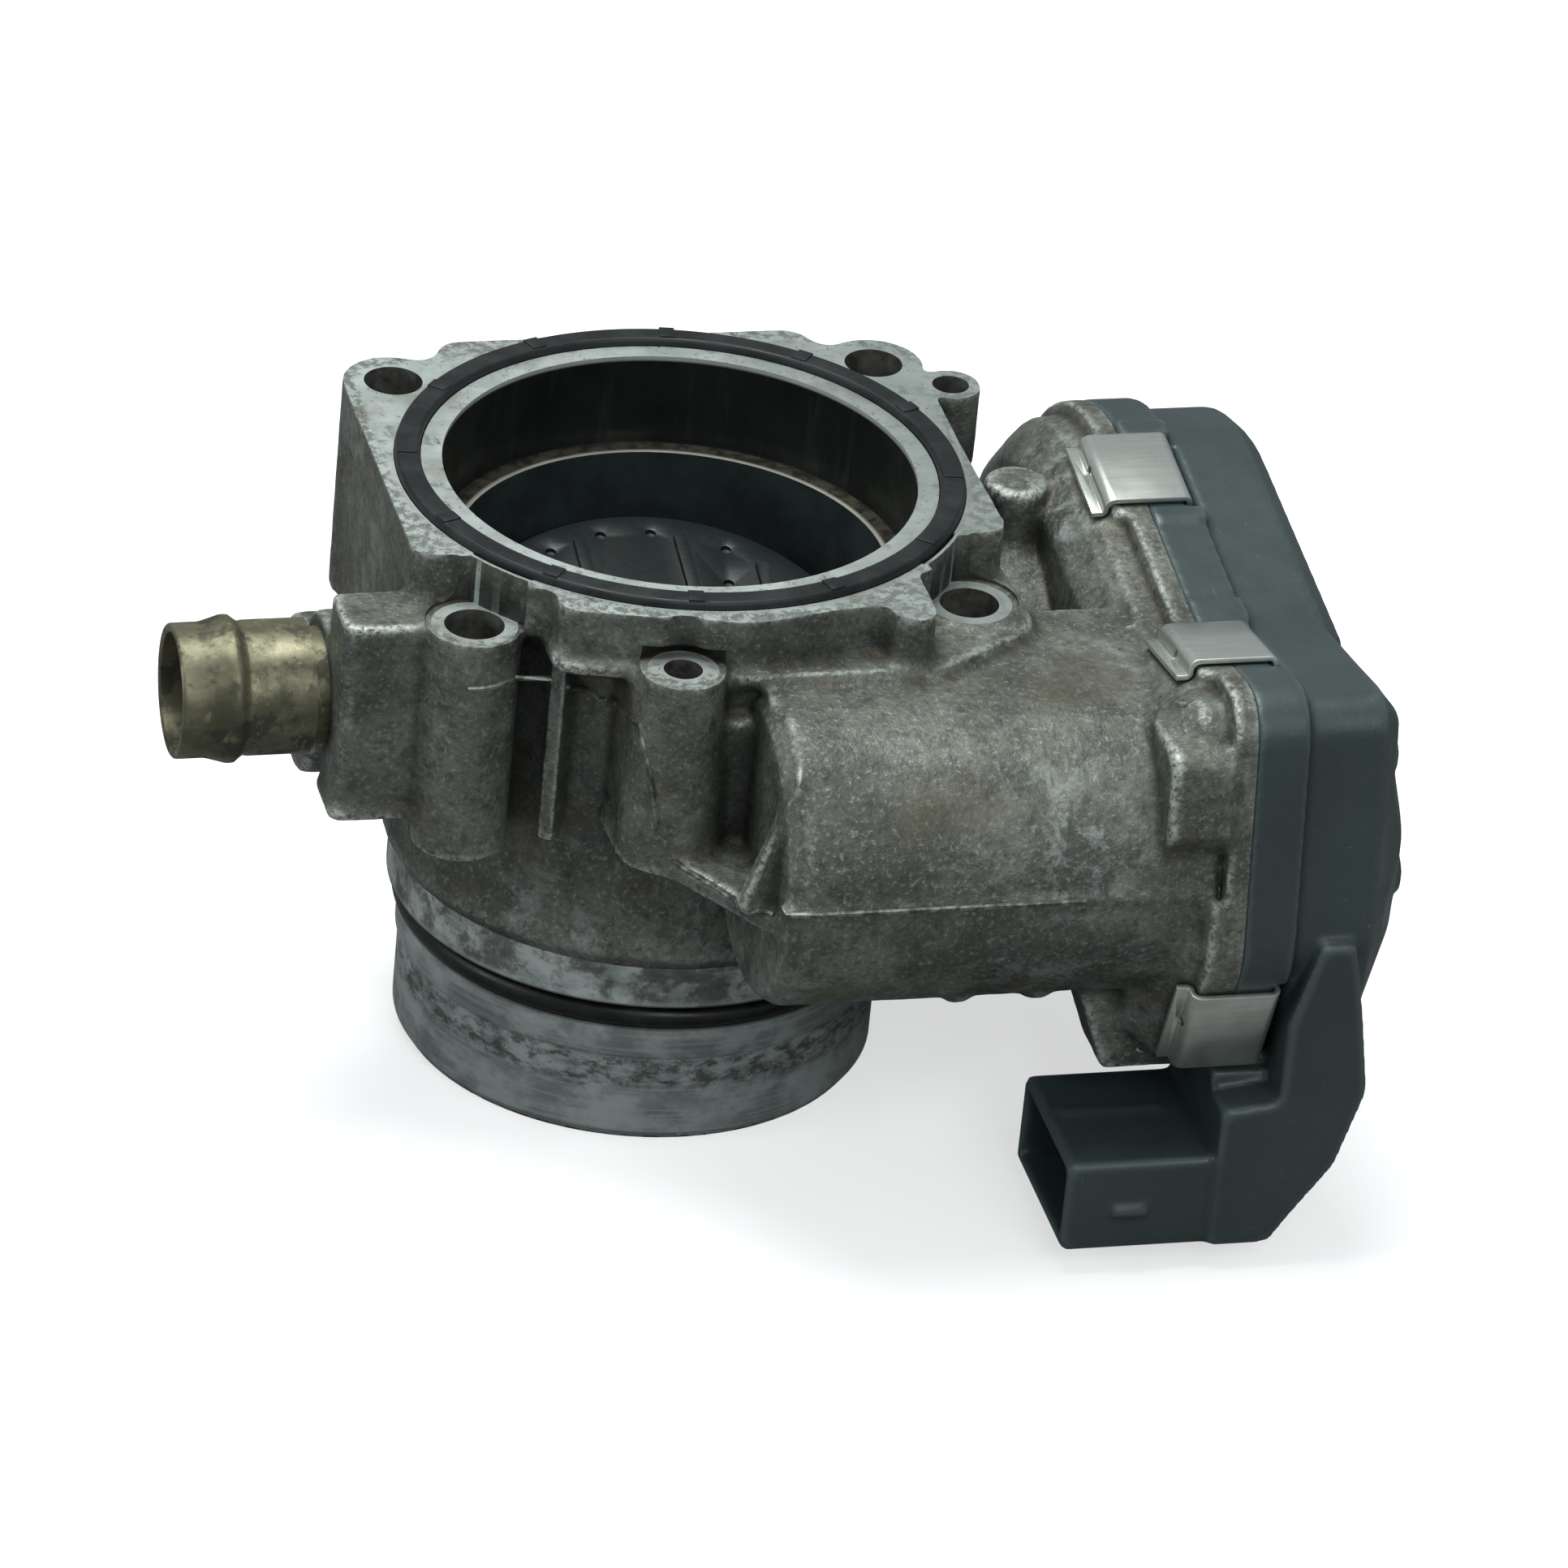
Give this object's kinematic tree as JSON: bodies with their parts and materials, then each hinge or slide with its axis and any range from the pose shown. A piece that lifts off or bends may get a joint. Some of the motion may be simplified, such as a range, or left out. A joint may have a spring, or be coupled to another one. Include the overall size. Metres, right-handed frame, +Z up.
{
  "type": "throttle body",
  "caption": "Electronic throttle body: cast housing with a geared motor-driven butterfly plate, moulded gear cover, brass hose nipple, spigot outlet and side connector.",
  "frame": {"origin": "centre of the 68 mm inlet mouth, in the plane of the inlet flange face", "axes": "+Z up the air bore out of the inlet, +X along the throttle shaft towards the gear cover, -Y towards the motor"},
  "size_m": [0.1674, 0.1204, 0.0925],
  "materials": {
    "cast_aluminium": "sand-satin die casting, weathered",
    "black_rubber": "satin",
    "brass": "tarnished",
    "plate_black": "sooty satin",
    "steel": "ground",
    "clip_steel": "satin",
    "cover_plastic": "satin moulded",
    "black_plastic": "moulded",
    "gear_plastic": "moulded",
    "magnet": "sintered",
    "bronze": "sintered",
    "copper": "enamelled",
    "carbon": "matt",
    "tinned_contact": "tin plated",
    "board_green": "solder mask"
  },
  "bodies": {
    "casing": {"housing": "cast_aluminium", "inlet_seal": "black_rubber", "outlet_o_ring": "black_rubber", "hose_nipple": "brass", "needle_bearing_left": "steel", "needle_bearing_right": "steel", "shaft_seals": "black_rubber", "shaft_end_plug": "steel", "thrust_washer": "bronze", "return_spring": "steel", "spring_bush": "black_plastic", "intermediate_axle": "steel", "motor_can": "steel", "motor_magnets": "magnet", "motor_wave_spring": "steel", "motor_bushes": "bronze", "motor_end_plate": "black_plastic", "motor_brushes": "carbon", "motor_terminals": "tinned_contact", "motor_screws": "steel", "gear_cover": "cover_plastic", "cover_seal": "black_rubber", "spring_clips": "clip_steel", "sensor_board": "board_green", "lead_frame": "tinned_contact", "connector_pins": "tinned_contact"},
    "throttle": {"throttle_shaft": "steel", "throttle_plate": "plate_black", "plate_screws": "steel", "sector_gear": "gear_plastic", "sensor_magnet": "magnet"},
    "reduction_gear": {"intermediate_gear": "gear_plastic"},
    "motor_rotor": {"motor_shaft": "steel", "armature_core": "steel", "armature_winding": "copper", "commutator": "copper", "motor_pinion": "brass"}
  },
  "joints": [
    {"name": "throttle_turn", "type": "hinge", "parent": "casing", "child": "throttle", "pos_m": [0, 0, -0.034], "axis": [1, 0, 0], "range_deg": [-8, 75], "stiffness_Nm_per_rad": 0.2},
    {"name": "reduction_turn", "type": "hinge", "parent": "casing", "child": "reduction_gear", "pos_m": [0, -0.02951, -0.03941], "axis": [1, 0, 0], "range_deg": [-246.63, 26.49]},
    {"name": "rotor_turn", "type": "hinge", "parent": "casing", "child": "motor_rotor", "pos_m": [0, -0.051, -0.0318], "axis": [1, 0, 0], "range_deg": [-99.07, 924.61]}
  ],
  "couplings": [
    {"joint": "reduction_turn", "follows": "throttle_turn", "ratio": -3.2857},
    {"joint": "rotor_turn", "follows": "throttle_turn", "ratio": 12.321}
  ]
}
